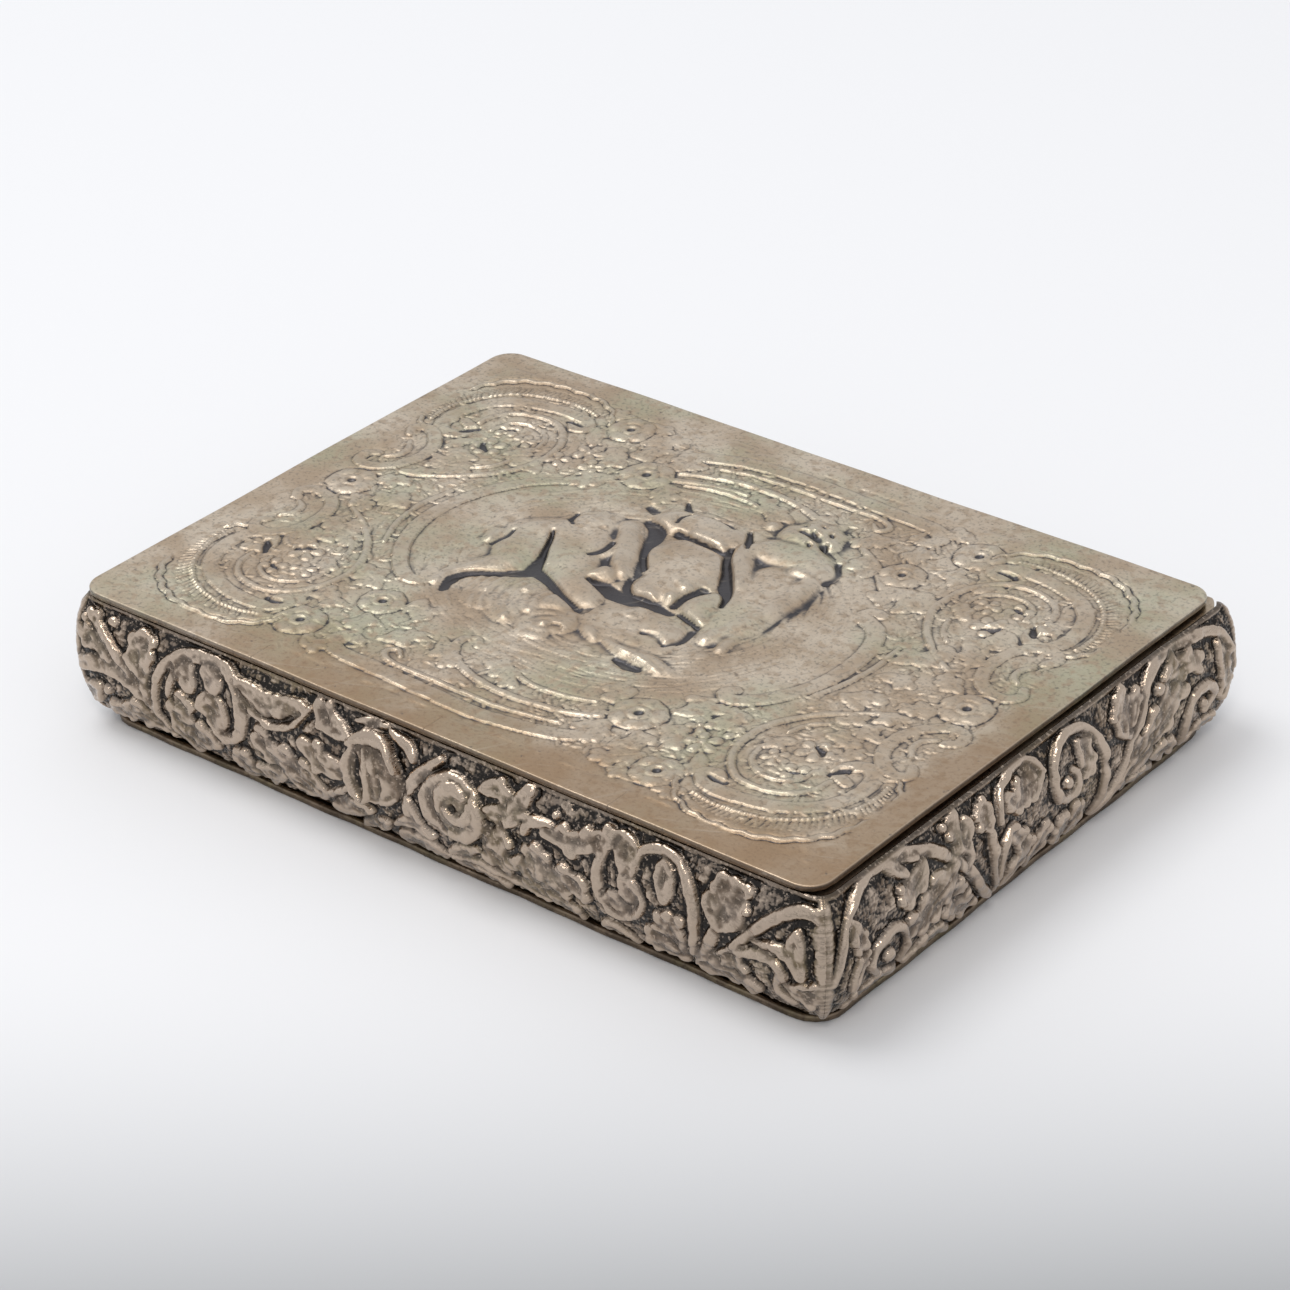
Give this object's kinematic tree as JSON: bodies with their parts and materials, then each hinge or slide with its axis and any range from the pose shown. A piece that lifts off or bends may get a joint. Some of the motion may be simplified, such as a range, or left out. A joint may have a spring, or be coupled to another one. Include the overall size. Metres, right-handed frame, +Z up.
{
  "type": "hinged metal box",
  "caption": "Flat rectangular silver box with swelling chased walls, a thin relief lid hinged along one long side and an open compartment inside.",
  "frame": {"origin": "centre of the underside of the box, at the middle of the bounding box", "axes": "+X along the long side to the right end, +Y from the front to the hinged back, +Z up through the lid"},
  "size_m": [0.0962, 0.07, 0.0169],
  "materials": {
    "lid_silver": "tarnished silver, warm grey with green-brown patches",
    "wall_silver": "chased silver, dark in the hollows and rubbed bright on the high places",
    "base_silver": "tarnished silver sheet with a rubbed edge",
    "plain_silver": "plain silver, dull and scratched",
    "pin_silver": "drawn wire, dark with tarnish"
  },
  "bodies": {
    "box": {"base_moulding": "base_silver", "base_plate": "base_silver", "front_wall": "wall_silver", "rear_wall": "wall_silver", "left_wall": "wall_silver", "right_wall": "wall_silver", "top_rim": "plain_silver", "hinge_trough": "plain_silver", "body_knuckle_1": "plain_silver", "body_knuckle_2": "plain_silver", "body_knuckle_3": "plain_silver", "body_knuckle_4": "plain_silver", "hinge_pin": "pin_silver"},
    "lid": {"lid_plate": "lid_silver", "lid_bezel": "plain_silver", "lid_knuckle_1": "plain_silver", "lid_knuckle_2": "plain_silver", "lid_knuckle_3": "plain_silver"}
  },
  "joints": [
    {"name": "lid_hinge", "type": "hinge", "parent": "box", "child": "lid", "pos_m": [0, 0.032, 0.0134], "axis": [-1, 0, 0], "range_deg": [0, 105]}
  ]
}
